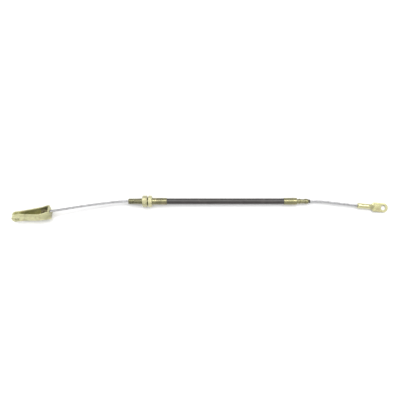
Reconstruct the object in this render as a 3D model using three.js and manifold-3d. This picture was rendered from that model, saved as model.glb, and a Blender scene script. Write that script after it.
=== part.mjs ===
// Brake cable: a stranded steel wire that slides in a jacketed conduit.
// One end of the conduit is crimped into a threaded adjuster with two nuts, the other into a stepped ferrule.
// The wire carries a folded sheet clevis at the adjuster's end and a pressed eye at the ferrule's end.
// The cable lies on a surface: +X runs along it from the clevis to the eye, +Z is up, all in millimetres.
import * as THREE from "three";
import { mergeVertices } from "three/addons/utils/BufferGeometryUtils.js";
import Module from "manifold-3d";

const wasm = await Module();
wasm.setup();

// Fits and smoothness
const seatGap = 0.3; // between pieces that touch or are crimped together
const roundSides = 32;
const wireSides = 12;
const wireSteps = 80;

// Inner wire
const wireRadius = 1.9;

// Conduit, from the inside out: plastic liner, wound steel armour, plastic jacket
const wireClearance = 0.5; // wire to liner, so that the wire slides
const linerWall = 0.4;
const armourWall = 0.75;
const jacketWall = 0.5;
const conduitLength = 187; // what shows between the two crimped sleeves
const linerTip = 3; // how far the liner stands out of the ferrule

// Adjuster: a threaded tube that ends in a crimp sleeve
const threadRadius = 5;
const threadLength = 38;
const threadChamfer = 0.9;
const adjusterBoreRadius = 3.05;
const crimpWall = 0.55;
const adjusterSleeveLength = 23.5;
const crimpRounding = 1.1;
const adjusterSeatDepth = 2; // solid shoulder between the thread and the conduit's seat

// The two nuts on the adjuster
const nutAcrossFlats = 16;
const outerNutThickness = 8;
const innerNutThickness = 6.2;
const nutChamferRadius = 7.7;
const nutSpacing = 1.1;

// End ferrule: crimp sleeve, shoulder, rib and bead
const ferruleSleeveLength = 21;
const ferruleSeatWall = 2; // thickness of the shoulder that the conduit ends on
const ferruleFlare = 0.15; // the sleeve is a little wider at its shoulder
const neckRadius = 3.55;
const ribRadius = 4.25;
const ribAt = 4.4; // from the shoulder to the rib's middle
const ribHalfLength = 2.3;
const beadRadius = 4.2;
const beadHalfLength = 3.7;
const neckLength = 11; // from the shoulder to where the bead starts
const beadLip = 0.3;

// Clevis: one folded sheet with an end wall that the wire passes through
const sheet = 2;
const clevisLength = 62;
const clevisHalfWidth = 8; // outside, round the wire's button
const forkHalfWidth = 4.4; // outside, at the pin
const forkEnd = 14; // from the tip to where the cheeks start to spread
const spreadEnd = 46; // from the tip to where they are fully spread
const cheekHeight = 17.4;
const waistHeight = 15.4;
const wallHeight = 18;
const waistFromWall = 17;
const foldRadius = 3; // outside radius of the folds
const webStart = 15; // the web is cut back here to let a lever swing
const pinFromTip = 8.6;
const pinHoleRadius = 3.2;
const wireAboveWeb = 12.2;
const clevisRoll = THREE.MathUtils.degToRad(40); // it lies on its fold, half on its side
const clevisTurn = THREE.MathUtils.degToRad(7.4); // seen from above
const spreadStations = 8;

// Button pressed on the wire inside the clevis
const buttonRadius = 4;
const buttonLength = 11;
const buttonChamfer = 0.8;

// Eye terminal: a barrel pressed flat into a round-ended head
const barrelRadius = 4.1;
const barrelLength = 17.9;
const barrelChamfer = 0.9;
const barrelDepth = 15; // how far the wire goes in
const headThickness = 3.2;
const headHalfWidth = 7.4;
const headStart = 27; // from the barrel's mouth to where the head has its full width
const eyeFromMouth = 42.6;
const eyeHoleRadius = 4.15;
const eyeTurn = THREE.MathUtils.degToRad(-5.2); // seen from above
const shoulderSides = 24;

// Free stretches of the wire, each as [distance from the conduit's mouth, sideways, rise above a straight line
// from the mouth to the wire's end fitting].
const clevisRoute = [
  [118, -14.85, 0.17],
  [112, -14, 0.3],
  [105, -12.85, 0.39],
  [97, -11.55, 0.43],
  [88, -10.1, 0.42],
  [78, -8.55, 0.35],
  [67, -6.9, 0.22],
  [56, -5.35, 0.07],
  [45, -3.95, -0.08],
  [35, -2.75, -0.18],
  [26, -1.7, -0.23],
  [18, -0.88, -0.22],
  [11, -0.34, -0.18],
  [5, -0.07, -0.1],
];
const clevisFreeLength = 124; // from the adjuster's mouth to the clevis
const clevisAside = -15.65;
const eyeRoute = [
  [6, -0.04, -0.02],
  [13, -0.2, 0.05],
  [21, -0.7, 0.21],
  [30, -1.66, 0.45],
  [40, -2.86, 0.69],
  [51, -4.14, 0.83],
  [62, -5.3, 0.71],
  [70, -6.1, 0.4],
];
const eyeFreeLength = 76; // from the liner's tip to the eye's barrel
const eyeAside = -6.66;
const straightEnd = 12; // the wire is straight at least this far inside each mouth

// Radii and stations that follow from the sizes above
const linerInner = wireRadius + wireClearance;
const linerOuter = linerInner + linerWall;
const armourInner = linerOuter + seatGap;
const armourOuter = armourInner + armourWall;
const jacketInner = armourOuter + seatGap;
const jacketOuter = jacketInner + jacketWall;
const seatRadius = jacketOuter + seatGap;
const sleeveRadius = seatRadius + crimpWall;
const noseBoreRadius = linerOuter + seatGap;

const conduitStart = threadLength + adjusterSeatDepth + seatGap;
const adjusterEnd = threadLength + adjusterSleeveLength;
const ferruleStart = adjusterEnd + conduitLength;
const ferruleShoulder = ferruleStart + ferruleSleeveLength;
const conduitEnd = ferruleShoulder - ferruleSeatWall - seatGap;
const noseEnd = ferruleShoulder + neckLength + 2 * beadHalfLength;
const linerEnd = noseEnd + linerTip;

const innerNutAt = threadLength - seatGap - innerNutThickness;
const outerNutAt = innerNutAt - nutSpacing - outerNutThickness;
const nutsMiddle = (outerNutAt + threadLength) / 2;

// The conduit leans a little: it rests on the nuts at one end and on the ferrule's sleeve at the other.
const shoulderRadius = sleeveRadius + ferruleFlare;
const restTilt = Math.asin((nutAcrossFlats / 2 - shoulderRadius) / (ferruleShoulder - nutsMiddle));
const mouthHeight = nutAcrossFlats / 2 + nutsMiddle * Math.sin(restTilt);

// The wire's height where it enters the clevis, which lies on the outside of one fold.
const clevisWireHeight =
  foldRadius +
  (clevisHalfWidth - foldRadius) * Math.sin(clevisRoll) +
  (wireAboveWeb - foldRadius) * Math.cos(clevisRoll);

// The eye rests on the end of its barrel and on its head's tip.
const eyeLength = eyeFromMouth + headHalfWidth;
const eyeTilt = Math.asin((barrelRadius - headThickness / 2) / (eyeLength - barrelLength));
const eyeMouthHeight = barrelRadius * Math.cos(eyeTilt) + barrelLength * Math.sin(eyeTilt);

// Turns a closed mesh into a solid for cutting and joining.
function solid(geometry) {
  const bare = geometry.clone();
  bare.deleteAttribute("normal");
  bare.deleteAttribute("uv");
  const merged = mergeVertices(bare, 1e-4);
  return new wasm.Manifold(
    new wasm.Mesh({
      numProp: 3,
      vertProperties: new Float32Array(merged.getAttribute("position").array),
      triVerts: new Uint32Array(merged.getIndex().array),
    }),
  );
}

// Turns a solid back into a mesh's geometry, with flat faces.
function surface(body) {
  const mesh = body.getMesh();
  const geometry = new THREE.BufferGeometry();
  geometry.setAttribute("position", new THREE.BufferAttribute(mesh.vertProperties, 3));
  geometry.setIndex(new THREE.BufferAttribute(mesh.triVerts, 1));
  const flat = geometry.toNonIndexed();
  flat.computeVertexNormals();
  return flat;
}

// A turned shape along +X. The profile is a list of [station, radius] that runs along the outside first.
function turned(profile) {
  const points = profile.map(([station, radius]) => new THREE.Vector2(radius, station));
  const geometry = new THREE.LatheGeometry(points, roundSides);
  geometry.rotateZ(-Math.PI / 2);
  return geometry;
}

// A plain turned tube along +X.
function tube(start, end, inner, outer) {
  return turned([
    [start, inner],
    [start, outer],
    [end, outer],
    [end, inner],
    [start, inner],
  ]);
}

// A round bar along +X, for drilling.
function bar(start, end, radius) {
  return turned([
    [start, 0],
    [start, radius],
    [end, radius],
    [end, 0],
  ]);
}

// A solid through convex rings of points, each ring the same length and turning the same way.
function loft(rings) {
  const count = rings[0].length;
  const positions = rings.flat().flatMap((point) => point.toArray());
  const index = [];
  for (let ring = 0; ring < rings.length - 1; ring++) {
    for (let i = 0; i < count; i++) {
      const a = ring * count + i;
      const b = ring * count + ((i + 1) % count);
      index.push(a, b, b + count, a, b + count, a + count);
    }
  }
  const last = (rings.length - 1) * count;
  for (let i = 1; i < count - 1; i++) {
    index.push(0, i + 1, i);
    index.push(last, last + i, last + i + 1);
  }
  const geometry = new THREE.BufferGeometry();
  geometry.setAttribute("position", new THREE.Float32BufferAttribute(positions, 3));
  geometry.setIndex(index);
  return geometry;
}

// A flat outline in the plane of two axes, given thickness along the third.
function plate(shape, thickness) {
  const geometry = new THREE.ExtrudeGeometry(shape, {
    depth: thickness,
    bevelEnabled: false,
    curveSegments: roundSides / 2,
  });
  geometry.translate(0, 0, -thickness / 2);
  return geometry;
}

function piece(name, geometry, color, roughness, metalness) {
  const material = new THREE.MeshStandardMaterial({ color, roughness, metalness });
  const mesh = new THREE.Mesh(geometry, material);
  mesh.name = name;
  return mesh;
}

const zincYellow = 0xcfc48a;
const zincPale = 0xe6e0b4;
const wireGrey = 0xa3a3a5;
const jacketBlack = 0x3a3733;

// Adjuster: thread, shoulder and crimp sleeve turned from one bar
function makeAdjuster() {
  const seat = threadLength + adjusterSeatDepth;
  const geometry = turned([
    [0, adjusterBoreRadius],
    [0, threadRadius - threadChamfer],
    [threadChamfer, threadRadius],
    [threadLength, threadRadius],
    [threadLength, sleeveRadius],
    [adjusterEnd - crimpRounding, sleeveRadius],
    [adjusterEnd - crimpRounding / 3, sleeveRadius - crimpWall / 4],
    [adjusterEnd, seatRadius + crimpWall / 4],
    [adjusterEnd, seatRadius],
    [seat, seatRadius],
    [seat, adjusterBoreRadius],
    [0, adjusterBoreRadius],
  ]);
  return piece("adjuster", geometry, zincYellow, 0.35, 0.8);
}

// Nut: a hexagon with both faces chamfered, lying on one flat
function makeNut(name, start, thickness) {
  const cornerRadius = nutAcrossFlats / 2 / Math.cos(Math.PI / 6);
  const outline = new THREE.Shape();
  for (let corner = 0; corner < 6; corner++) {
    const angle = (corner * Math.PI) / 3 + Math.PI / 2;
    const across = cornerRadius * Math.cos(angle);
    const along = cornerRadius * Math.sin(angle);
    if (corner === 0) outline.moveTo(across, along);
    else outline.lineTo(across, along);
  }
  outline.closePath();
  const hexagon = plate(outline, thickness);
  hexagon.rotateY(Math.PI / 2);
  hexagon.translate(thickness / 2, 0, 0);
  const chamferDepth = (cornerRadius - nutChamferRadius) * Math.tan(Math.PI / 6);
  const chamfer = turned([
    [0, 0],
    [0, nutChamferRadius],
    [chamferDepth, cornerRadius],
    [thickness - chamferDepth, cornerRadius],
    [thickness, nutChamferRadius],
    [thickness, 0],
  ]);
  const hole = bar(-1, thickness + 1, threadRadius + seatGap);
  const body = solid(hexagon).intersect(solid(chamfer)).subtract(solid(hole));
  const nut = piece(name, surface(body), zincPale, 0.3, 0.75);
  nut.position.x = start;
  return nut;
}

// Conduit: liner, armour and jacket between the two crimp seats
function makeConduit() {
  return [
    piece("conduit_jacket", tube(conduitStart, conduitEnd, jacketInner, jacketOuter), jacketBlack, 0.5, 0),
    piece("conduit_armour", tube(conduitStart, conduitEnd, armourInner, armourOuter), 0x8a8a8c, 0.45, 0.9),
    piece("conduit_liner", tube(conduitStart, linerEnd, linerInner, linerOuter), 0x24221f, 0.4, 0),
  ];
}

// End ferrule: the crimp sleeve steps down to a ribbed nozzle that ends in a bead
function makeFerrule() {
  const rib = [];
  const bead = [];
  const ribMiddle = ferruleShoulder + ribAt;
  const beadMiddle = noseEnd - beadHalfLength;
  for (let share = -1; share <= 1; share += 0.25) {
    const rise = Math.cos((share * Math.PI) / 2);
    rib.push([ribMiddle + share * ribHalfLength, neckRadius + (ribRadius - neckRadius) * rise]);
  }
  const lip = (noseBoreRadius + beadLip) / beadRadius;
  const reach = Math.sqrt(1 - lip * lip);
  for (let share = -1; share <= 1; share += 0.25) {
    const radius = beadRadius * Math.sqrt(1 - (share * reach) ** 2);
    bead.push([beadMiddle + share * beadHalfLength, radius]);
  }
  const geometry = turned([
    [ferruleStart, seatRadius],
    [ferruleStart, seatRadius + crimpWall / 2],
    [ferruleStart + crimpRounding / 2, sleeveRadius],
    [ferruleShoulder - crimpRounding / 2, shoulderRadius],
    [ferruleShoulder, shoulderRadius - crimpRounding / 2],
    [ferruleShoulder, neckRadius],
    ...rib,
    [beadMiddle - beadHalfLength - crimpRounding / 2, neckRadius],
    ...bead,
    [noseEnd, noseBoreRadius],
    [ferruleShoulder - ferruleSeatWall, noseBoreRadius],
    [ferruleShoulder - ferruleSeatWall, seatRadius],
    [ferruleStart, seatRadius],
  ]);
  return piece("end_ferrule", geometry, zincYellow, 0.35, 0.8);
}

// Outside half-width of the clevis at a distance from its tip
function clevisHalf(fromTip) {
  const spread = THREE.MathUtils.smoothstep(fromTip, forkEnd, spreadEnd);
  return THREE.MathUtils.lerp(forkHalfWidth, clevisHalfWidth, spread);
}

// One convex ring of the clevis, with its fold corners, set in by a wall
function clevisRing(x, halfWidth, inset) {
  const radius = foldRadius - inset;
  const half = halfWidth - inset;
  const top = wallHeight + 5 + inset;
  const ring = [new THREE.Vector3(x, half, top), new THREE.Vector3(x, -half, top)];
  for (let i = 0; i <= 4; i++) {
    const angle = Math.PI + (i * Math.PI) / 8;
    const y = -half + radius + radius * Math.cos(angle);
    ring.push(new THREE.Vector3(x, y, inset + radius + radius * Math.sin(angle)));
  }
  for (let i = 0; i <= 4; i++) {
    const angle = Math.PI * 1.5 + (i * Math.PI) / 8;
    const y = half - radius + radius * Math.cos(angle);
    ring.push(new THREE.Vector3(x, y, inset + radius + radius * Math.sin(angle)));
  }
  return ring;
}

// Clevis: made open side up with its outer end wall at x = 0, its tip towards -X and its web at z = 0
function makeClevis() {
  const stations = [0];
  for (let i = 0; i <= spreadStations; i++) {
    stations.push(THREE.MathUtils.lerp(forkEnd, spreadEnd, i / spreadStations));
  }
  const toTip = (fromTip) => fromTip - clevisLength;
  const outside = stations.map((s) => clevisRing(toTip(s), clevisHalf(s), 0));
  outside.push(clevisRing(0, clevisHalfWidth, 0));
  const inside = stations.map((s) => clevisRing(toTip(s), clevisHalf(s), sheet));
  inside[0] = clevisRing(toTip(-1), forkHalfWidth, sheet);
  inside.push(clevisRing(-sheet, clevisHalfWidth, sheet));

  // Side view of the cheeks: round at the pin, a low waist, rising to the end wall
  const endRadius = cheekHeight / 2;
  const side = new THREE.Shape();
  side.moveTo(-foldRadius, 0);
  side.absarc(-foldRadius, foldRadius, foldRadius, -Math.PI / 2, 0, false);
  side.lineTo(0, wallHeight);
  side.lineTo(-sheet, wallHeight);
  side.bezierCurveTo(-waistFromWall / 2, wallHeight, -waistFromWall / 2, waistHeight, -waistFromWall, waistHeight);
  side.bezierCurveTo(-waistFromWall - 14, waistHeight, toTip(endRadius) + 14, cheekHeight, toTip(endRadius), cheekHeight);
  side.absarc(toTip(endRadius), endRadius, endRadius, Math.PI / 2, Math.PI * 1.5, false);
  side.closePath();
  const profile = plate(side, 4 * clevisHalfWidth);
  profile.rotateX(Math.PI / 2);

  const swing = new THREE.BoxGeometry(webStart + 1, 2 * (forkHalfWidth - sheet), 3 * foldRadius);
  swing.translate(toTip((webStart - 1) / 2), 0, 0);
  const pinHole = new THREE.CylinderGeometry(pinHoleRadius, pinHoleRadius, 4 * clevisHalfWidth, roundSides);
  pinHole.translate(toTip(pinFromTip), 0, endRadius);
  const wireHole = bar(-2 * sheet, sheet, wireRadius + seatGap);
  wireHole.translate(0, 0, wireAboveWeb);

  const body = solid(loft(outside))
    .intersect(solid(profile))
    .subtract(solid(loft(inside)))
    .subtract(solid(swing))
    .subtract(solid(pinHole))
    .subtract(solid(wireHole));
  const clevis = piece("clevis", surface(body), zincYellow, 0.35, 0.8);
  clevis.position.z = -wireAboveWeb;
  return clevis;
}

// Button on the wire's end, seated on the inside of the clevis's end wall
function makeButton() {
  const face = -sheet - seatGap;
  const bore = wireRadius + seatGap;
  const geometry = turned([
    [face - buttonLength, bore],
    [face - buttonLength, buttonRadius - buttonChamfer],
    [face - buttonLength + buttonChamfer, buttonRadius],
    [face - buttonChamfer, buttonRadius],
    [face, buttonRadius - buttonChamfer],
    [face, bore],
    [face - buttonLength, bore],
  ]);
  return piece("wire_button", geometry, wireGrey, 0.4, 0.9);
}

// One ring of the eye's shoulder, from round to flat
function shoulderRing(x, halfWidth, halfThickness, squareness) {
  const ring = [];
  for (let i = 0; i < shoulderSides; i++) {
    const angle = (-i * 2 * Math.PI) / shoulderSides;
    const c = Math.cos(angle);
    const s = Math.sin(angle);
    const y = halfWidth * Math.sign(c) * Math.abs(c) ** (1 / squareness);
    const z = halfThickness * Math.sign(s) * Math.abs(s) ** (1 / squareness);
    ring.push(new THREE.Vector3(x, y, z));
  }
  return ring.reverse();
}

// Eye terminal: barrel, pressed shoulder and flat head, with its barrel's mouth at x = 0
function makeEye() {
  const barrel = turned([
    [0, 0],
    [0, barrelRadius - barrelChamfer],
    [barrelChamfer, barrelRadius],
    [barrelLength, barrelRadius],
    [barrelLength, 0],
  ]);
  const flat = headThickness / 2;
  const run = headStart - barrelLength;
  const slope = barrelRadius - flat;
  const shoulder = loft(
    [
      [-0.2, barrelRadius - 0.05, 1, 1],
      [0, barrelRadius - 0.1, 0.97, 1],
      [0.2, barrelRadius - 0.4, 0.78, 1.1],
      [0.4, barrelRadius - 0.45, 0.5, 1.3],
      [0.6, barrelRadius - 0.2, 0.25, 1.6],
      [0.8, barrelRadius + 0.5, 0.08, 2],
      [1, barrelRadius + 1, 0, 2.5],
      [1.2, barrelRadius + 0.6, -0.1, 2.5],
    ].map(([share, halfWidth, rise, squareness]) =>
      shoulderRing(barrelLength + share * run, halfWidth, flat + rise * slope, squareness),
    ),
  );
  const neck = barrelRadius - 1;
  const outline = new THREE.Shape();
  outline.moveTo(barrelLength - 1, neck);
  outline.lineTo(barrelLength + 0.3 * run, neck);
  outline.bezierCurveTo(barrelLength + 0.6 * run, neck, headStart - 2, headHalfWidth, headStart, headHalfWidth);
  outline.lineTo(eyeFromMouth, headHalfWidth);
  outline.absarc(eyeFromMouth, 0, headHalfWidth, Math.PI / 2, -Math.PI / 2, true);
  outline.lineTo(headStart, -headHalfWidth);
  outline.bezierCurveTo(headStart - 2, -headHalfWidth, barrelLength + 0.6 * run, -neck, barrelLength + 0.3 * run, -neck);
  outline.lineTo(barrelLength - 1, -neck);
  outline.closePath();
  const head = plate(outline, headThickness);
  const eyeHole = new THREE.CylinderGeometry(eyeHoleRadius, eyeHoleRadius, 3 * headThickness, roundSides);
  eyeHole.rotateX(Math.PI / 2);
  eyeHole.translate(eyeFromMouth, 0, 0);
  const wireHole = bar(-1, barrelDepth + seatGap, wireRadius + seatGap);
  const body = solid(barrel)
    .add(solid(shoulder))
    .add(solid(head))
    .subtract(solid(eyeHole))
    .subtract(solid(wireHole));
  return piece("eye_terminal", surface(body), zincPale, 0.3, 0.75);
}

// Inner wire: from the button, through the conduit, into the eye's barrel
function makeWire(guided, clevisFrame, eyeFrame) {
  const inConduit = (station) => guided.localToWorld(new THREE.Vector3(station, 0, 0));
  const inClevis = (station) => clevisFrame.localToWorld(new THREE.Vector3(station, 0, 0));
  const inEye = (station) => eyeFrame.localToWorld(new THREE.Vector3(station, 0, 0));
  const mouth = inConduit(0);
  const nose = inConduit(linerEnd);
  const clevisMouth = inClevis(0);
  const eyeMouth = inEye(0);
  const points = [
    inClevis(-sheet - seatGap - buttonLength),
    inClevis(-sheet - seatGap - buttonLength / 2),
    inClevis(-sheet),
    clevisMouth,
  ];
  for (const [distance, aside, rise] of clevisRoute) {
    const straight = THREE.MathUtils.lerp(mouth.z, clevisMouth.z, distance / clevisFreeLength);
    points.push(new THREE.Vector3(mouth.x - distance, aside, straight + rise));
  }
  points.push(mouth);
  points.push(inConduit(straightEnd));
  points.push(inConduit((conduitStart + conduitEnd) / 2));
  points.push(inConduit(linerEnd - straightEnd));
  points.push(nose);
  for (const [distance, aside, rise] of eyeRoute) {
    const straight = THREE.MathUtils.lerp(nose.z, eyeMouth.z, distance / eyeFreeLength);
    points.push(new THREE.Vector3(nose.x + distance, aside, straight + rise));
  }
  points.push(eyeMouth);
  points.push(inEye(barrelDepth / 2));
  points.push(inEye(barrelDepth));
  const route = new THREE.CatmullRomCurve3(points, false, "centripetal");
  route.arcLengthDivisions = 2000;

  const section = new THREE.Shape();
  for (let i = 0; i < wireSides; i++) {
    const angle = (i * 2 * Math.PI) / wireSides;
    const a = wireRadius * Math.cos(angle);
    const b = wireRadius * Math.sin(angle);
    if (i === 0) section.moveTo(a, b);
    else section.lineTo(a, b);
  }
  section.closePath();
  const geometry = new THREE.ExtrudeGeometry(section, {
    steps: wireSteps,
    bevelEnabled: false,
    extrudePath: route,
  });
  return piece("inner_wire", geometry, wireGrey, 0.45, 0.9);
}

// The conduit and its end pieces, along the guided axis
const guided = new THREE.Group();
guided.position.z = mouthHeight;
guided.rotation.y = restTilt;
guided.add(makeAdjuster());
guided.add(makeNut("lock_nut_outer", outerNutAt, outerNutThickness));
guided.add(makeNut("lock_nut_inner", innerNutAt, innerNutThickness));
guided.add(...makeConduit());
guided.add(makeFerrule());

// The clevis and the button, along the wire's end
const clevisFrame = new THREE.Group();
clevisFrame.position.set(-clevisFreeLength, clevisAside, clevisWireHeight);
clevisFrame.rotation.set(-clevisRoll, 0, clevisTurn, "ZYX");
clevisFrame.add(makeClevis());
clevisFrame.add(makeButton());

// The eye, along the wire's other end
const eyeFrame = new THREE.Group();
eyeFrame.position.set(linerEnd * Math.cos(restTilt) + eyeFreeLength, eyeAside, eyeMouthHeight);
eyeFrame.rotation.set(0, eyeTilt, eyeTurn, "ZYX");
eyeFrame.add(makeEye());

const cable = new THREE.Group();
cable.add(guided, clevisFrame, eyeFrame);
cable.updateMatrixWorld(true);
cable.add(makeWire(guided, clevisFrame, eyeFrame));

// The origin is under the middle of the cable's box, on the surface that it lies on.
const box = new THREE.Box3().setFromObject(cable, true);
const middle = box.getCenter(new THREE.Vector3());
cable.position.set(-middle.x, -middle.y, -box.min.z);

const part = new THREE.Group();
part.add(cable);
export default part;
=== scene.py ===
import math

import bpy
from mathutils import Matrix, Vector


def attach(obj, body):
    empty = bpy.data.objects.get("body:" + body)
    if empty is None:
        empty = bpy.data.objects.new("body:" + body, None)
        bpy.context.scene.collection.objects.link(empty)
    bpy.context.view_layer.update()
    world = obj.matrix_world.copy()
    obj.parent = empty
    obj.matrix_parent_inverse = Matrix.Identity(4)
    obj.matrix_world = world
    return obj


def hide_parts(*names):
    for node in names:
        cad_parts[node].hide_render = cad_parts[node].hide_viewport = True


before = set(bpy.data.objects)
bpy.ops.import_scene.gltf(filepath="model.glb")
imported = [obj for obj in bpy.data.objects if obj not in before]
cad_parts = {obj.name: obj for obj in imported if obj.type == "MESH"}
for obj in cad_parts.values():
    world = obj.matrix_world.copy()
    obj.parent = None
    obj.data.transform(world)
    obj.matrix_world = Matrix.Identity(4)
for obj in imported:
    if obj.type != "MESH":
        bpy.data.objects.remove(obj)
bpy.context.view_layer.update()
print("stage: frame loaded")

mm = 0.001

# Each frame has its X along a straight piece: the conduit from the adjuster's mouth,
# the clevis from its wire hole, the eye from its barrel's mouth
conduitFrame = ((0.999952, 0, 0.00982, -115.513191), (0, 1, 0, 11.86598), (-0.00982, 0, 0.999952, 8.368139))
clevisFrame = (
    (0.991671, -0.098663, -0.082788, -239.513191), (0.128796, 0.759664, 0.637434, -3.78402),
    (0, -0.642788, 0.766044, 13.333113)
)
eyeFrame = (
    (0.99286, 0.090633, 0.077561, 251.372782), (-0.090357, 0.995884, -0.007059, 5.20598),
    (-0.077882, 0, 0.996963, 5.553193)
)


def startAlone(piece=None):
    if bpy.context.object and bpy.context.object.mode != "OBJECT":
        bpy.ops.object.mode_set(mode="OBJECT")
    bpy.ops.object.select_all(action="DESELECT")
    if piece:
        piece.select_set(True)
        bpy.context.view_layer.objects.active = piece


def applyModifier(piece, kind, **settings):
    startAlone(piece)
    modifier = piece.modifiers.new("step", kind)
    for key, value in settings.items():
        setattr(modifier, key, value)
    bpy.ops.object.modifier_apply(modifier=modifier.name)


def combine(piece, tool, operation, solver="EXACT"):
    applyModifier(piece, "BOOLEAN", object=tool, operation=operation, solver=solver)
    bpy.data.objects.remove(tool)
    return piece


def place(piece, rows):
    piece.data.transform(Matrix([(a, b, c, d * mm) for a, b, c, d in rows] + [(0, 0, 0, 1)]))


def singlePoint(name, at):  # a plane merged to one vertex, to extrude from
    startAlone()
    bpy.ops.mesh.primitive_plane_add(size=mm)
    piece = bpy.context.object
    piece.name = name
    bpy.ops.object.mode_set(mode="EDIT")
    bpy.ops.mesh.select_all(action="SELECT")
    bpy.ops.mesh.merge(type="CENTER")
    bpy.ops.transform.translate(value=Vector(at) * mm)
    return piece


def extrudeBy(step):
    bpy.ops.mesh.extrude_region_move(TRANSFORM_OT_translate={"value": Vector(step) * mm})


def closeMesh(merge=0.002):
    bpy.ops.mesh.select_all(action="SELECT")
    bpy.ops.mesh.remove_doubles(threshold=merge * mm)
    bpy.ops.mesh.normals_make_consistent(inside=False)
    bpy.ops.object.mode_set(mode="OBJECT")


# Rounds the corners of a closed outline. Each corner is (first, second, fillet) in mm.
def filleted(corners, steps=5):
    outline = []
    for i, (a, b, fillet) in enumerate(corners):
        here = Vector((a, b))
        toLast = Vector(corners[i - 1][:2]) - here
        toNext = Vector(corners[(i + 1) % len(corners)][:2]) - here
        if not fillet:
            outline.append((a, b))
            continue
        half = toLast.angle(toNext) / 2
        cut = min(fillet / math.tan(half), toLast.length * 0.48, toNext.length * 0.48)
        radius = cut * math.tan(half)
        centre = here + (toLast.normalized() + toNext.normalized()).normalized() * radius / math.sin(half)
        start = here + toLast.normalized() * cut - centre
        end = here + toNext.normalized() * cut - centre
        sweep = start.angle(end)
        for s in range(steps + 1):
            share = s / steps
            point = centre + (
                start * math.sin((1 - share) * sweep) + end * math.sin(share * sweep)
            ) / math.sin(sweep)
            outline.append((point.x, point.y))
    return outline


# A turned piece round X: the outline of (station, radius) is drawn by extruding a point, then spun.
def turnedPiece(name, outline, sides, closed=True):
    points = outline + outline[:1] if closed else outline
    piece = singlePoint(name, (points[0][0], 0, points[0][1]))
    for (a, b), (c, d) in zip(points, points[1:]):
        extrudeBy((c - a, 0, d - b))
    bpy.ops.mesh.select_all(action="SELECT")
    bpy.ops.mesh.spin(steps=sides, angle=2 * math.pi, center=(0, 0, 0), axis=(1, 0, 0))
    closeMesh()
    return piece


# A prism: the outline of (x, z) is drawn, filled and extruded through Y.
def prismPiece(name, outline, yStart, yEnd):
    piece = singlePoint(name, (outline[0][0], yStart, outline[0][1]))
    for (a, b), (c, d) in zip(outline, outline[1:]):
        extrudeBy((c - a, 0, d - b))
    bpy.ops.mesh.select_all(action="SELECT")
    bpy.ops.mesh.edge_face_add()
    extrudeBy((0, yEnd - yStart, 0))
    closeMesh()
    return piece


def boxPiece(name, low, high):
    startAlone()
    middle = [(a + b) / 2 * mm for a, b in zip(low, high)]
    bpy.ops.mesh.primitive_cube_add(
        size=1, location=middle, scale=[(b - a) * mm for a, b in zip(low, high)]
    )
    piece = bpy.context.object
    piece.name = name
    bpy.ops.object.transform_apply(location=True, rotation=True, scale=True)
    return piece


def arc(centre, radius, start, end, steps):
    return [
        (
            centre[0] + radius * math.cos(start + (end - start) * s / steps),
            centre[1] + radius * math.sin(start + (end - start) * s / steps)
        )
        for s in range(steps + 1)
    ]


# Points of a cubic curve from the first corner to the last, without its start
def cubic(*corners, steps=14):
    a, b, c, d = [Vector(corner) for corner in corners]
    made = []
    for s in range(1, steps + 1):
        t = s / steps
        point = a * (1 - t) ** 3 + b * 3 * t * (1 - t) ** 2 + c * 3 * t * t * (1 - t) + d * t ** 3
        made.append((point.x, point.y))
    return made


# Marks the worn edges: 1 where faces meet sharply at a vertex, 0 on flat ground.
def markWornEdges(piece, sharp=50, spread=2):
    mesh = piece.data
    mesh.update()
    worn = [0.0] * len(mesh.vertices)
    edgeFaces = {}
    for face in mesh.polygons:
        for key in face.edge_keys:
            edgeFaces.setdefault(key, []).append(face.normal)
    for (a, b), normals in edgeFaces.items():
        if len(normals) == 2 and normals[0].length > 0 and normals[1].length > 0:
            bend = min(math.degrees(normals[0].angle(normals[1])) / sharp, 1)
            worn[a] = max(worn[a], bend)
            worn[b] = max(worn[b], bend)
    for _ in range(spread):
        softened = list(worn)
        for a, b in edgeFaces:
            softened[a] = max(softened[a], worn[b] * 0.5)
            softened[b] = max(softened[b], worn[a] * 0.5)
        worn = softened
    attribute = mesh.attributes.new("wornEdge", "FLOAT", "POINT")
    attribute.data.foreach_set("value", worn)


def finishPiece(piece, body, nodes, material, smoothTo=32, wear=True):
    if wear:
        markWornEdges(piece)
    startAlone(piece)
    bpy.ops.object.shade_smooth_by_angle(angle=math.radians(smoothTo))
    piece.data.materials.clear()
    piece.data.materials.append(material)
    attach(piece, body)
    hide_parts(*nodes)
    print("stage:", piece.name, "done,", len(piece.data.polygons), "faces")
    return piece


# Node tools

def newGroup(name, inputs, outputs):
    group = bpy.data.node_groups.new(name, "ShaderNodeTree")
    for label, kind, value in inputs:
        socket = group.interface.new_socket(name=label, in_out="INPUT", socket_type="NodeSocket" + kind)
        if value is not None:
            socket.default_value = value
    for label, kind in outputs:
        group.interface.new_socket(name=label, in_out="OUTPUT", socket_type="NodeSocket" + kind)
    return group, group.nodes.new("NodeGroupInput"), group.nodes.new("NodeGroupOutput")


def addNode(tree, kind, **settings):
    node = tree.nodes.new("ShaderNode" + kind)
    for key, value in settings.items():
        if key in node.bl_rna.properties:
            setattr(node, key, value)
        else:
            node.inputs[key.replace("_", " ")].default_value = value
    return node


def math2(tree, operation, a, b=None, clamp=False):
    node = tree.nodes.new("ShaderNodeMath")
    node.operation = operation
    node.use_clamp = clamp
    for socket, value in zip(node.inputs, (a, b)):
        if value is None:
            continue
        if isinstance(value, (int, float)):
            socket.default_value = value
        else:
            tree.links.new(value, socket)
    return node.outputs[0]


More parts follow.
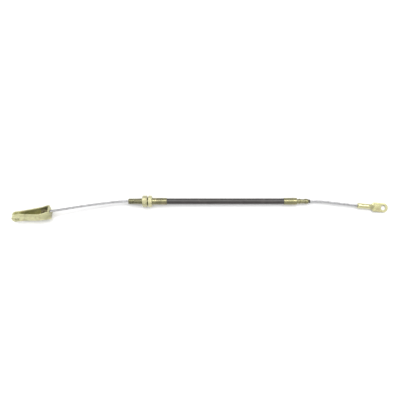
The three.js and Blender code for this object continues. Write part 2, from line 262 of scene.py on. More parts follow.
def mixColour(tree, share, a, b):
    node = tree.nodes.new("ShaderNodeMix")
    node.data_type = "RGBA"
    node.clamp_factor = True
    for socket, value in ((node.inputs[0], share), (node.inputs[6], a), (node.inputs[7], b)):
        if isinstance(value, (int, float, tuple)):
            socket.default_value = value
        else:
            tree.links.new(value, socket)
    return node.outputs[2]


def remap(tree, value, low, high, newLow=0.0, newHigh=1.0):
    node = tree.nodes.new("ShaderNodeMapRange")
    node.interpolation_type = "SMOOTHSTEP"
    tree.links.new(value, node.inputs["Value"])
    for label, number in (("From Min", low), ("From Max", high), ("To Min", newLow), ("To Max", newHigh)):
        node.inputs[label].default_value = number
    return node.outputs["Result"]


def screenColour(red, green, blue):  # a colour as seen on screen, 0 to 255, made linear
    def linear(value):
        value /= 255
        return value / 12.92 if value <= 0.04045 else ((value + 0.055) / 1.055) ** 2.4
    return (linear(red), linear(green), linear(blue), 1.0)


# Yellow chromate over zinc: patchy gold and olive, with a faint pink bloom,
# finer mottling and worn bright edges
def makeChromateGroup():
    group, given, result = newGroup(
        "chromate",
        [
            ("Pale", "Color", (0.8, 0.8, 0.5, 1)), ("Deep", "Color", (0.4, 0.4, 0.2, 1)),
            ("Bloom", "Color", (0.7, 0.5, 0.4, 1)), ("Worn", "Color", (0.8, 0.8, 0.75, 1)),
            ("Patch Scale", "Float", 60.0), ("Deep Share", "Float", 0.5),
            ("Bloom Share", "Float", 0.2), ("Wear", "Float", 0.5),
        ],
        [("Color", "Color"), ("Rough", "Float"), ("Height", "Float")],
    )
    coordinates = addNode(group, "TexCoord").outputs["Object"]
    patches = addNode(group, "TexNoise", Detail=4.0, Roughness=0.55, Distortion=0.6)
    group.links.new(coordinates, patches.inputs["Vector"])
    group.links.new(given.outputs["Patch Scale"], patches.inputs["Scale"])
    blooms = addNode(group, "TexNoise", Detail=2.0, Roughness=0.5, Distortion=1.2)
    group.links.new(coordinates, blooms.inputs["Vector"])
    group.links.new(math2(group, "MULTIPLY", given.outputs["Patch Scale"], 2.3), blooms.inputs["Scale"])
    speckle = addNode(group, "TexNoise", Scale=2600.0, Detail=2.0, Roughness=0.6)
    group.links.new(coordinates, speckle.inputs["Vector"])
    deep = math2(
        group, "MULTIPLY", remap(group, patches.outputs["Fac"], 0.38, 0.66), given.outputs["Deep Share"]
    )
    colour = mixColour(group, deep, given.outputs["Pale"], given.outputs["Deep"])
    bloom = math2(
        group, "MULTIPLY", remap(group, blooms.outputs["Fac"], 0.5, 0.7), given.outputs["Bloom Share"]
    )
    colour = mixColour(group, bloom, colour, given.outputs["Bloom"])
    fine = mixColour(
        group, remap(group, speckle.outputs["Fac"], 0.3, 0.75, 0.0, 0.22), colour, given.outputs["Deep"]
    )
    wornEdge = addNode(group, "Attribute", attribute_name="wornEdge").outputs["Fac"]
    chips = addNode(group, "TexNoise", Scale=900.0, Detail=3.0, Roughness=0.7)
    group.links.new(coordinates, chips.inputs["Vector"])
    wear = math2(
        group, "MULTIPLY",
        math2(group, "MULTIPLY", wornEdge, remap(group, chips.outputs["Fac"], 0.35, 0.6)),
        given.outputs["Wear"], clamp=True
    )
    worn = mixColour(group, wear, fine, given.outputs["Worn"])
    group.links.new(worn, result.inputs["Color"])
    rough = math2(
        group, "ADD", remap(group, patches.outputs["Fac"], 0.3, 0.7, 0.0, 0.12),
        remap(group, speckle.outputs["Fac"], 0.3, 0.7, -0.05, 0.05)
    )
    group.links.new(
        math2(group, "SUBTRACT", rough, math2(group, "MULTIPLY", wear, 0.1)), result.inputs["Rough"]
    )
    group.links.new(
        math2(
            group, "ADD", math2(group, "MULTIPLY", speckle.outputs["Fac"], 0.6),
            math2(group, "MULTIPLY", chips.outputs["Fac"], 0.4)
        ),
        result.inputs["Height"]
    )
    return group


# Fine marks left by the lathe: rings round the piece's own axis, given by a mapping of its Object coordinates
def makeTurningGroup():
    group, given, result = newGroup(
        "turningMarks", [("Vector", "Vector", None), ("Pitch", "Float", 0.0003)], [("Mask", "Float")]
    )
    split = addNode(group, "SeparateXYZ")
    group.links.new(given.outputs["Vector"], split.inputs[0])
    along = math2(group, "DIVIDE", split.outputs["X"], given.outputs["Pitch"])
    rings = addNode(group, "TexNoise", noise_dimensions="1D", Scale=1.0, Detail=3.0, Roughness=0.65)
    group.links.new(along, rings.inputs["W"])
    group.links.new(rings.outputs["Fac"], result.inputs["Mask"])
    return group


# Long scratches and rub marks along X
def makeScratchGroup():
    group, given, result = newGroup(
        "scratches", [("Vector", "Vector", None), ("Scale", "Float", 500.0), ("Stretch", "Float", 0.03)],
        [("Mask", "Float")]
    )
    split = addNode(group, "SeparateXYZ")
    group.links.new(given.outputs["Vector"], split.inputs[0])
    joined = addNode(group, "CombineXYZ")
    group.links.new(
        math2(group, "MULTIPLY", split.outputs["X"], given.outputs["Stretch"]), joined.inputs["X"]
    )
    group.links.new(split.outputs["Y"], joined.inputs["Y"])
    group.links.new(split.outputs["Z"], joined.inputs["Z"])
    lines = addNode(group, "TexNoise", Detail=3.0, Roughness=0.6)
    group.links.new(joined.outputs[0], lines.inputs["Vector"])
    group.links.new(given.outputs["Scale"], lines.inputs["Scale"])
    group.links.new(remap(group, lines.outputs["Fac"], 0.52, 0.68), result.inputs["Mask"])
    return group


chromateGroup = makeChromateGroup()
turningGroup = makeTurningGroup()
scratchGroup = makeScratchGroup()


def newMaterial(name, **constants):
    material = bpy.data.materials.new(name)
    material.use_nodes = True
    shader = material.node_tree.nodes["Principled BSDF"]
    for key, value in constants.items():
        shader.inputs[key.replace("_", " ")].default_value = value
    return material, material.node_tree, shader


def placeGroup(tree, group, **values):
    node = tree.nodes.new("ShaderNodeGroup")
    node.node_tree = group
    for key, value in values.items():
        node.inputs[key.replace("_", " ")].default_value = value
    return node


def bump(tree, shader, height, strength, depth):
    node = addNode(tree, "Bump", Strength=strength, Distance=depth)
    tree.links.new(height, node.inputs["Height"])
    tree.links.new(node.outputs["Normal"], shader.inputs["Normal"])


def chromateMaterial(name, look):
    material, tree, shader = newMaterial(
        name, Metallic=look["metallic"], Coat_Weight=look["coat"], Coat_Roughness=0.25
    )
    plating = placeGroup(
        tree, chromateGroup, Pale=screenColour(*look["pale"]), Deep=screenColour(*look["deep"]),
        Bloom=screenColour(*look["bloom"]), Worn=screenColour(*look["worn"]),
        Patch_Scale=look["patchScale"], Deep_Share=look["deepShare"], Bloom_Share=look["bloomShare"],
        Wear=look["wear"],
    )
    coordinates = addNode(tree, "TexCoord").outputs["Object"]
    if look["turned"]:
        marks = placeGroup(tree, turningGroup, Pitch=look["markPitch"] * mm)
    else:
        marks = placeGroup(tree, scratchGroup, Scale=look["scratchScale"], Stretch=look["stretch"])
    tree.links.new(coordinates, marks.inputs["Vector"])
    colour = mixColour(
        tree, math2(tree, "MULTIPLY", marks.outputs["Mask"], look["markShade"]), plating.outputs["Color"],
        screenColour(*look["deep"])
    )
    tree.links.new(colour, shader.inputs["Base Color"])
    rough = math2(tree, "ADD", plating.outputs["Rough"], look["roughness"])
    rough = math2(tree, "ADD", rough, math2(tree, "MULTIPLY", marks.outputs["Mask"], 0.08), clamp=True)
    tree.links.new(rough, shader.inputs["Roughness"])
    height = math2(
        tree, "ADD", math2(tree, "MULTIPLY", plating.outputs["Height"], 0.5),
        math2(tree, "MULTIPLY", marks.outputs["Mask"], 0.7)
    )
    bump(tree, shader, height, look["bump"], 0.05 * mm)
    return material


# Painted shade: the turned pieces' plating is darker all over than the zinc's own colour, standing in for the
# dark surroundings that the turned metal reflects
turnedShadedLook = {
    "pale": (146, 142, 100), "deep": (84, 81, 54), "bloom": (136, 112, 88), "worn": (196, 194, 168),
    "patchScale": 70.0, "deepShare": 0.7, "bloomShare": 0.3,
    "wear": 0.5, "metallic": 0.9, "coat": 0.7, "roughness": 0.17, "turned": True, "markPitch": 0.12,
    "markShade": 0.25, "bump": 0.35,
}
sheetLook = {
    "pale": (218, 217, 168), "deep": (142, 140, 102), "bloom": (172, 140, 108), "worn": (226, 224, 190),
    "patchScale": 48.0, "deepShare": 0.75, "bloomShare": 0.35,
    "wear": 0.35, "metallic": 0.8, "coat": 0.3, "roughness": 0.3, "turned": False, "scratchScale": 900.0,
    "stretch": 0.05, "markShade": 0.35, "bump": 0.3,
}
paleLook = {
    "pale": (200, 197, 150), "deep": (132, 129, 90), "bloom": (168, 144, 114), "worn": (220, 218, 190),
    "patchScale": 55.0, "deepShare": 0.5, "bloomShare": 0.25,
    "wear": 0.5, "metallic": 0.9, "coat": 0.6, "roughness": 0.24, "turned": False, "scratchScale": 700.0,
    "stretch": 0.08, "markShade": 0.2, "bump": 0.25,
}

# Painted shade: the thick nut's plating is a darker copy of the pale plating on the other nut
thickNutShadedLook = {**paleLook, "pale": (174, 171, 128), "deep": (116, 113, 78), "bloom": (150, 126, 98)}
# Painted highlight and painted shade: the eye's copy of the pale plating is brighter in its pale tone and
# darker in its deep patches
eyeLitAndShadedLook = {**paleLook, "pale": (212, 208, 158), "deep": (116, 113, 76), "roughness": 0.18, "wear": 0.3}

turnedShadedZinc = chromateMaterial("turnedShadedChromate", turnedShadedLook)
sheetZinc = chromateMaterial("sheetChromate", sheetLook)
paleZinc = chromateMaterial("paleChromate", paleLook)
thickNutShadedZinc = chromateMaterial("thickNutShadedChromate", thickNutShadedLook)
eyeLitAndShadedZinc = chromateMaterial("eyeLitAndShadedChromate", eyeLitAndShadedLook)


# Bright drawn steel with patches of grey grime
def makeStrandMaterial():
    material, tree, shader = newMaterial("strandSteel", Metallic=0.9)
    coordinates = addNode(tree, "TexCoord").outputs["Object"]
    grime = addNode(tree, "TexNoise", Scale=240.0, Detail=4.0, Roughness=0.6)
    tree.links.new(coordinates, grime.inputs["Vector"])
    drawn = placeGroup(tree, scratchGroup, Scale=1800.0, Stretch=0.06)
    tree.links.new(coordinates, drawn.inputs["Vector"])
    colour = mixColour(
        tree, remap(tree, grime.outputs["Fac"], 0.4, 0.68, 0.0, 0.45), screenColour(188, 188, 190),
        screenColour(136, 134, 132)
    )
    colour = mixColour(
        tree, math2(tree, "MULTIPLY", drawn.outputs["Mask"], 0.3), colour, screenColour(112, 110, 108)
    )
    tree.links.new(colour, shader.inputs["Base Color"])
    tree.links.new(remap(tree, grime.outputs["Fac"], 0.3, 0.7, 0.3, 0.48), shader.inputs["Roughness"])
    bump(tree, shader, drawn.outputs["Mask"], 0.3, 0.02 * mm)
    return material


def makePressedSteelMaterial():
    material, tree, shader = newMaterial("pressedSteel", Metallic=0.85)
    coordinates = addNode(tree, "TexCoord").outputs["Object"]
    stain = addNode(tree, "TexNoise", Scale=180.0, Detail=5.0, Roughness=0.6)
    tree.links.new(coordinates, stain.inputs["Vector"])
    colour = mixColour(
        tree, remap(tree, stain.outputs["Fac"], 0.4, 0.65), screenColour(104, 98, 72),
        screenColour(66, 58, 42)
    )
    tree.links.new(colour, shader.inputs["Base Color"])
    tree.links.new(remap(tree, stain.outputs["Fac"], 0.3, 0.7, 0.36, 0.55), shader.inputs["Roughness"])
    bump(tree, shader, stain.outputs["Fac"], 0.3, 0.04 * mm)
    return material


# Extruded black plastic: die lines along X, a little dust and a fine skin
def makeJacketMaterial():
    look = {"base": (39, 34, 32), "dusty": (68, 61, 59), "line": (25, 22, 21), "skinScale": 3200.0}
    material, tree, shader = newMaterial(
        "extrudedPlastic", Specular_IOR_Level=0.5, Coat_Weight=0.3, Coat_Roughness=0.2
    )
    coordinates = addNode(tree, "TexCoord").outputs["Object"]
    dust = addNode(tree, "TexNoise", Scale=120.0, Detail=5.0, Roughness=0.62, Distortion=0.4)
    skin = addNode(tree, "TexNoise", Scale=look["skinScale"], Detail=2.0, Roughness=0.5)
    for texture in (dust, skin):
        tree.links.new(coordinates, texture.inputs["Vector"])
    dieLines = placeGroup(tree, scratchGroup, Scale=1100.0, Stretch=0.004)
    tree.links.new(coordinates, dieLines.inputs["Vector"])
    colour = mixColour(
        tree, remap(tree, dust.outputs["Fac"], 0.45, 0.7, 0.0, 0.5), screenColour(*look["base"]),
        screenColour(*look["dusty"])
    )
    colour = mixColour(
        tree, math2(tree, "MULTIPLY", dieLines.outputs["Mask"], 0.4), colour, screenColour(*look["line"])
    )
    tree.links.new(colour, shader.inputs["Base Color"])
    tree.links.new(remap(tree, dust.outputs["Fac"], 0.3, 0.7, 0.28, 0.42), shader.inputs["Roughness"])
    height = math2(
        tree, "ADD", math2(tree, "MULTIPLY", skin.outputs["Fac"], 0.3),
        math2(tree, "MULTIPLY", dieLines.outputs["Mask"], 0.7)
    )
    bump(tree, shader, height, 0.4, 0.05 * mm)
    return material


def makeLinerMaterial():
    material, tree, shader = newMaterial("linerPlastic", Specular_IOR_Level=0.5)
    coordinates = addNode(tree, "TexCoord").outputs["Object"]
    smear = addNode(tree, "TexNoise", Scale=700.0, Detail=3.0)
    tree.links.new(coordinates, smear.inputs["Vector"])
    colour = mixColour(
        tree, remap(tree, smear.outputs["Fac"], 0.4, 0.65), screenColour(40, 37, 33),
        screenColour(74, 70, 62)
    )
    tree.links.new(colour, shader.inputs["Base Color"])
    tree.links.new(remap(tree, smear.outputs["Fac"], 0.3, 0.7, 0.28, 0.44), shader.inputs["Roughness"])
    bump(tree, shader, smear.outputs["Fac"], 0.2, 0.03 * mm)
    return material


# Wound steel wire: the coil shows as ridges 0.8 mm apart, darker in the grooves between turns as painted
# shade and lighter on the crests as painted highlight
def makeArmourMaterial():
    material, tree, shader = newMaterial("woundSteel", Metallic=0.9)
    coordinates = addNode(tree, "TexCoord").outputs["Object"]
    turns = addNode(
        tree, "TexWave", wave_type="BANDS", bands_direction="X", Scale=1 / (0.8 * mm) / 6.2832 * 2,
        Distortion=0.2
    )
    tree.links.new(coordinates, turns.inputs["Vector"])
    # Painted shade in the grooves and painted highlight on the crests, following the coil's turns
    colour = mixColour(tree, turns.outputs["Fac"], screenColour(96, 94, 92), screenColour(176, 175, 174))
    tree.links.new(colour, shader.inputs["Base Color"])
    tree.links.new(remap(tree, turns.outputs["Fac"], 0.0, 1.0, 0.5, 0.32), shader.inputs["Roughness"])
    bump(tree, shader, turns.outputs["Fac"], 0.8, 0.2 * mm)
    return material


strandSteel = makeStrandMaterial()
pressedSteel = makePressedSteelMaterial()
jacketPlastic = makeJacketMaterial()
linerPlastic = makeLinerMaterial()
woundSteel = makeArmourMaterial()
print("stage: materials made")

# Adjuster: a bored and chamfered bar with an M10 thread cut into it, and the crimp sleeve behind its shoulder
adjuster = {
    "bore": 3.05, "crest": 5.0, "root": 4.12, "pitch": 1.5, "chamfer": 0.9, "threadEnd": 38.0, "seat": 40.0,
    "seatRadius": 4.95, "sleeve": 5.5, "sleeveEnd": 61.5, "cutStart": -2.0, "cutEnd": 34.5, "sides": 72
}


def makeThreadCutter(size, start, end):
    startAlone()
    bpy.ops.mesh.primitive_plane_add(size=mm)
    cutter = bpy.context.object
    bpy.ops.object.mode_set(mode="EDIT")
    bpy.ops.mesh.delete(type="ONLY_FACE")
    bpy.ops.object.mode_set(mode="OBJECT")
    top = size["crest"] + 0.1
    flat = size["pitch"] / 8
    slope = (top - size["root"]) * math.tan(math.radians(30))
    for vertex in cutter.data.vertices:
        side = 1 if vertex.co.x > 0 else -1
        high = vertex.co.y > 0
        vertex.co = Vector(
            (start + side * (flat + slope if high else flat), 0, top if high else size["root"])
        ) * mm
    turns = math.ceil((end - start) / size["pitch"])
    applyModifier(
        cutter, "SCREW", axis="X", screw_offset=size["pitch"] * mm, iterations=turns, steps=48,
        render_steps=48
    )
    bpy.ops.object.mode_set(mode="EDIT")
    bpy.ops.mesh.select_all(action="SELECT")
    bpy.ops.mesh.remove_doubles(threshold=0.0005 * mm)
    bpy.ops.mesh.select_all(action="SELECT")
    bpy.ops.mesh.fill_holes(sides=0)
    closeMesh(0.0005)
    return cutter


def makeAdjuster(size):
    sleeveEnd = [
        (size["sleeveEnd"] - a, size["sleeve"] - b) for a,
        b in ((1.1, 0), (0.8, 0.03), (0.5, 0.09), (0.25, 0.2), (0.08, 0.34), (0, 0.5))
    ]
    corners = [
        (0, size["bore"], 0.3),
        (0, size["crest"] - size["chamfer"], 0.12),
        (size["chamfer"], size["crest"], 0),
        (size["threadEnd"], size["crest"], 0),
        (size["threadEnd"], size["sleeve"], 0.25),
    ]
    corners += [(a, b, 0) for a, b in sleeveEnd]
    corners += [
        (size["sleeveEnd"], size["seatRadius"], 0), (size["seat"], size["seatRadius"], 0),
        (size["seat"], size["bore"], 0.3)
    ]
    piece = turnedPiece("adjusterBody", filleted(corners), size["sides"])
    combine(piece, makeThreadCutter(size, size["cutStart"], size["cutEnd"]), "DIFFERENCE")
    place(piece, conduitFrame)
    return finishPiece(piece, "conduit", ["adjuster"], turnedShadedZinc, 28)


makeAdjuster(adjuster)

# Hexagon nuts: cut from bar, chamfered at 30 degrees on both faces, countersunk at both ends of the bore
nut = {
    "acrossFlats": 16.0, "chamferRadius": 7.7, "bore": 5.2, "countersink": 0.55, "edge": 0.16, "past": 1.0,
    "barrelSides": 97, "boreSides": 64
}
nutPlaces = {
    "lockNutOuter": ("lock_nut_outer", "outer_nut", 22.4, 8.0, thickNutShadedZinc),
    "lockNutInner": ("lock_nut_inner", "inner_nut", 31.5, 6.2, paleZinc)
}


# The bar and the barrel share no face and no edge: where they do, the boolean's result changes by the run
def makeNut(name, size, start, thickness):
    past = size["past"]
    corner = size["acrossFlats"] / 2 / math.cos(math.pi / 6)
    reach = corner + past / 2
    startAlone()
    bpy.ops.mesh.primitive_cylinder_add(
        vertices=6, radius=corner * mm, depth=(thickness + 2 * past) * mm,
        location=((start + thickness / 2) * mm, 0, 0), rotation=(0, math.pi / 2, 0)
    )
    piece = bpy.context.object
    piece.name = name
    bpy.ops.object.transform_apply(location=True, rotation=True, scale=True)
    if max(v.co.z for v in piece.data.vertices) > size["acrossFlats"] / 2 * mm * 1.01:
        piece.data.transform(Matrix.Rotation(math.pi / 6, 4, "X"))
    depth = (reach - size["chamferRadius"]) * math.tan(math.pi / 6)
    end = start + thickness
    barrel = [
        (start, 0), (start, size["chamferRadius"]), (start + depth, reach), (end - depth, reach),
        (end, size["chamferRadius"]), (end, 0)
    ]
    combine(piece, turnedPiece("barrel", barrel, size["barrelSides"], False), "INTERSECT")
    bore, sink = size["bore"], size["countersink"]
    drill = [
        (start - past, 0), (start - past, bore + sink + past), (start + sink, bore), (end - sink, bore),
        (end + past, bore + sink + past), (end + past, 0)
    ]
    combine(piece, turnedPiece("drill", drill, size["boreSides"], False), "DIFFERENCE")
    applyModifier(
        piece, "BEVEL", width=size["edge"] * mm, segments=2, limit_method="ANGLE",
        angle_limit=math.radians(20), use_clamp_overlap=True
    )
    place(piece, conduitFrame)
    return piece


for name, (node, body, start, thickness, plating) in nutPlaces.items():
    finishPiece(makeNut(name, nut, start, thickness), body, [node], plating, 25)

# Conduit: the jacket's skin is never quite round, and the liner's tip shows past the ferrule
conduit = {
    "start": 40.3, "end": 267.2, "jacketIn": 4.15, "jacketOut": 4.65, "waver": 0.02, "linerIn": 2.4,
    "linerOut": 2.8, "linerEnd": 290.9
}


def makeJacket(size):
    steps = 90
    outside = []
    for s in range(steps + 1):
        station = size["start"] + (size["end"] - size["start"]) * s / steps
        wave = math.sin(station * 0.31) + math.sin(station * 0.117 + 1.3)
        outside.append((station, size["jacketOut"] - size["waver"] + size["waver"] * 0.5 * wave))
    outline = [(size["start"], size["jacketIn"])] + outside + [(size["end"], size["jacketIn"])]
    piece = turnedPiece("jacketSkin", outline, 64)
    place(piece, conduitFrame)
    return finishPiece(
        piece, "conduit", ["conduit_jacket"], jacketPlastic, 40, wear=False
    )


def makeLiner(size):
    corners = [
        (size["start"], size["linerIn"], 0.05), (size["start"], size["linerOut"], 0.05),
        (size["linerEnd"], size["linerOut"], 0.18), (size["linerEnd"], size["linerIn"], 0.12),
    ]
    piece = turnedPiece("linerTube", filleted(corners), 48)
    place(piece, conduitFrame)
    return finishPiece(piece, "conduit", ["conduit_liner"], linerPlastic, 40, wear=False)


makeJacket(conduit)
makeLiner(conduit)
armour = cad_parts["conduit_armour"]
armour.data.materials.clear()
armour.data.materials.append(woundSteel)

# End ferrule: crimped sleeve, shoulder, swelling rib and rounded bead
ferrule = {
    "start": 248.5, "shoulder": 269.5, "sleeve": 5.5, "shoulderRadius": 5.65, "seatRadius": 4.95,
    "neck": 3.55, "rib": 4.25, "ribAt": 4.4, "ribHalf": 2.3,
    "bead": 4.2, "beadHalf": 3.7, "noseEnd": 287.9, "bore": 3.1, "lip": 0.3, "seatWall": 2.0,
}


def makeFerrule(size):
    ribMiddle = size["shoulder"] + size["ribAt"]
    beadMiddle = size["noseEnd"] - size["beadHalf"]
    reach = math.sqrt(1 - ((size["bore"] + size["lip"]) / size["bead"]) ** 2)
    shares = [s / 10 for s in range(-10, 11)]
    rib = [
        (
            ribMiddle + s * size["ribHalf"],
            size["neck"] + (size["rib"] - size["neck"]) * (0.5 + 0.5 * math.cos(math.pi * s)) ** 0.75, 0
        ) for s in shares
    ]
    bead = [
        (
            beadMiddle + s * size["beadHalf"], size["bead"] * math.sqrt(1 - (s * reach) ** 2), 0
        ) for s in shares
    ]
    corners = [
        (size["start"], size["seatRadius"], 0.08), (size["start"], size["sleeve"], 0.45),
        (size["start"] + 3, size["sleeve"], 0), (size["shoulder"] - 3, size["shoulderRadius"], 0),
        (size["shoulder"], size["shoulderRadius"], 0.6), (size["shoulder"], size["neck"], 0.3),
    ]
    corners += rib + [(beadMiddle - size["beadHalf"] - 0.55, size["neck"], 0)] + bead
    corners += [
        (size["noseEnd"], size["bore"], 0.12), (size["shoulder"] - size["seatWall"], size["bore"], 0.1),
        (size["shoulder"] - size["seatWall"], size["seatRadius"], 0)
    ]
    piece = turnedPiece("endFerrule", filleted(corners), 72)
    place(piece, conduitFrame)
    return finishPiece(piece, "conduit", ["end_ferrule"], turnedShadedZinc, 32)


makeFerrule(ferrule)

# Clevis: one sheet folded into a channel, with its end flap folded up between the cheeks.
# Its tools have faces in the sheet's own planes, which only the Manifold solver joins cleanly in every run.
clevis = {
    "length": 62.0, "sheet": 2.0, "halfWidth": 8.0, "forkHalf": 4.4, "forkEnd": 14.0, "spreadEnd": 46.0,
    "fold": 3.0, "cheek": 17.4, "waist": 15.4, "waistFromWall": 17.0, "wall": 18.0,
    "webStart": 15.0, "pinFromTip": 8.6, "pinHole": 3.2, "wireHole": 2.2, "wireHeight": 12.2, "slot": 0.35,
    "edge": 0.28,
}


def makeClevis(size):
    half, fold, length, sheet = size["halfWidth"], size["fold"], size["length"], size["sheet"]
    nearFold = arc((-half + fold, fold), fold, math.pi, 1.5 * math.pi, 8)
    farFold = arc((half - fold, fold), fold, 1.5 * math.pi, 2 * math.pi, 8)
    section = [(-half, size["wall"] + 4)] + nearFold + [(0, 0)] + farFold + [(half, size["wall"] + 4)]
    channel = singlePoint("clevisSheet", (-length - 1, section[0][0], section[0][1]))
    for (a, b), (c, d) in zip(section, section[1:]):
        extrudeBy((0, c - a, d - b))
    bpy.ops.mesh.select_all(action="SELECT")
    spread = size["spreadEnd"] - size["forkEnd"]
    stations = [-length - 1] + [-length + size["forkEnd"] + spread * s / 16 for s in range(17)] + [0]
    for a, b in zip(stations, stations[1:]):
        extrudeBy((b - a, 0, 0))
    closeMesh()
    for vertex in channel.data.vertices:  # the cheeks and folds close in towards the fork
        share = min(max((vertex.co.x / mm + length - size["forkEnd"]) / spread, 0), 1)
        narrower = (half - size["forkHalf"]) * (1 - share * share * (3 - 2 * share)) * mm
        if abs(vertex.co.y) > mm:
            vertex.co.y -= math.copysign(narrower, vertex.co.y)
    highest = max(channel.data.polygons, key=lambda face: face.center.z)
    if highest.normal.y * highest.center.y < 0:
        channel.data.flip_normals()
    applyModifier(channel, "SOLIDIFY", thickness=sheet * mm, offset=-1.0, use_even_offset=True)

    # side view of the cheeks
    endRadius = size["cheek"] / 2
    tip = -length + endRadius
    side = [(0.5, -1), (0.5, size["wall"]), (-sheet, size["wall"])]
    dip = -size["waistFromWall"]
    side += cubic(
        (-sheet, size["wall"]), (dip / 2, size["wall"]), (dip / 2, size["waist"]), (dip, size["waist"])
    )
    side += cubic(
        (dip, size["waist"]), (dip - 14, size["waist"]), (tip + 14, size["cheek"]), (tip, size["cheek"])
    )
    side += arc((tip, endRadius), endRadius, math.pi / 2, 1.5 * math.pi, 28)[1:]
    side += [(tip, -1)]
    combine(channel, prismPiece("sideView", side, -20, 20), "INTERSECT", "MANIFOLD")

    # the web makes room for the flap's fold and for a lever, then come the pin holes
    inner = half - sheet
    combine(
        channel, boxPiece("cornerRelief", (-fold, -inner, -1), (1, inner, fold + 0.5)), "DIFFERENCE",
        "MANIFOLD"
    )
    fork = size["forkHalf"] - sheet
    combine(
        channel,
        boxPiece("leverSlot", (-length - 1, -fork, -1), (-length + size["webStart"], fork, 2 * fold)),
        "DIFFERENCE", "MANIFOLD"
    )

    flapHalf = inner - size["slot"]
    flap = singlePoint("endFlap", (-fold - 3, -flapHalf, 0))
    flapLine = [(-fold - 3, 0), (-fold, 0)] + arc(
        (-fold, fold), fold, -math.pi / 2, 0, 8
    )[1:] + [(0, size["wall"])]
    for (a, b), (c, d) in zip(flapLine, flapLine[1:]):
        extrudeBy((c - a, 0, d - b))
    bpy.ops.mesh.select_all(action="SELECT")
    extrudeBy((0, 2 * flapHalf, 0))
    closeMesh()
    if max(flap.data.polygons, key=lambda face: face.center.z).normal.x < 0:
        flap.data.flip_normals()
    applyModifier(flap, "SOLIDIFY", thickness=sheet * mm, offset=-1.0, use_even_offset=True)
    combine(channel, flap, "UNION", "MANIFOLD")

    startAlone()
    bpy.ops.mesh.primitive_cylinder_add(
        vertices=48, radius=size["pinHole"] * mm, depth=30 * mm,
        location=((-length + size["pinFromTip"]) * mm, 0, endRadius * mm), rotation=(math.pi / 2, 0, 0)
    )
    pinDrill = bpy.context.object
    bpy.ops.object.transform_apply(location=True, rotation=True, scale=True)
    combine(channel, pinDrill, "DIFFERENCE", "MANIFOLD")
    wireDrill = turnedPiece(
        "wireDrill", [(-sheet - 2, 0), (-sheet - 2, size["wireHole"]), (2, size["wireHole"]), (2, 0)], 40,
        False
    )
    wireDrill.data.transform(Matrix.Translation((0, 0, size["wireHeight"] * mm)))
    combine(channel, wireDrill, "DIFFERENCE", "MANIFOLD")
    applyModifier(
        channel, "BEVEL", width=size["edge"] * mm, segments=2, limit_method="ANGLE",
        angle_limit=math.radians(32), use_clamp_overlap=True
    )
    channel.data.transform(Matrix.Translation((0, 0, -size["wireHeight"] * mm)))
    place(channel, clevisFrame)
    return finishPiece(channel, "clevis", ["clevis"], sheetZinc, 30)


makeClevis(clevis)

# Button pressed on the wire's end, with the press's flats left on its waist
button = {
    "face": -2.3, "length": 11.0, "radius": 4.0, "bore": 2.0, "flat": 3.72, "flatFrom": 2.5, "flatTo": 8.5
}


def makeButton(size):
    low, high = size["face"] - size["length"], size["face"]
    corners = [
        (low, size["bore"], 0.15), (low, size["radius"], 0.75), (high, size["radius"], 0.75),
        (high, size["bore"], 0.15)
    ]
    piece = turnedPiece("wireButton", filleted(corners), 48)
    for turn in (0, 1):
        for sign in (-1, 1):
            jaw = boxPiece(
                "jaw", (low + size["flatFrom"], -5, size["flat"]),
                (low + size["flatTo"], 5, size["flat"] + 2)
            )
            jaw.data.transform(Matrix.Rotation(math.pi / 2 * turn + (math.pi if sign < 0 else 0), 4, "X"))
            combine(piece, jaw, "DIFFERENCE")
    applyModifier(
        piece, "BEVEL", width=0.12 * mm, segments=2, limit_method="ANGLE", angle_limit=math.radians(30),
        use_clamp_overlap=True
    )
    place(piece, clevisFrame)
    return finishPiece(piece, "wire", ["wire_button"], pressedSteel, 30)


makeButton(button)

# Eye terminal: a barrel whose end is pressed into a flat, round-ended head
eye = {
    "barrel": 4.1, "barrelLength": 17.9, "chamfer": 0.9, "wireDepth": 15.3, "wireBore": 2.05,
    "thickness": 3.2, "halfWidth": 7.4, "headStart": 27.0,
    "holeAt": 42.6, "hole": 4.15, "countersink": 0.3, "voxel": 0.21, "punchAt": 33.1, "punchSide": 0.2,
    "punch": 0.9,
}


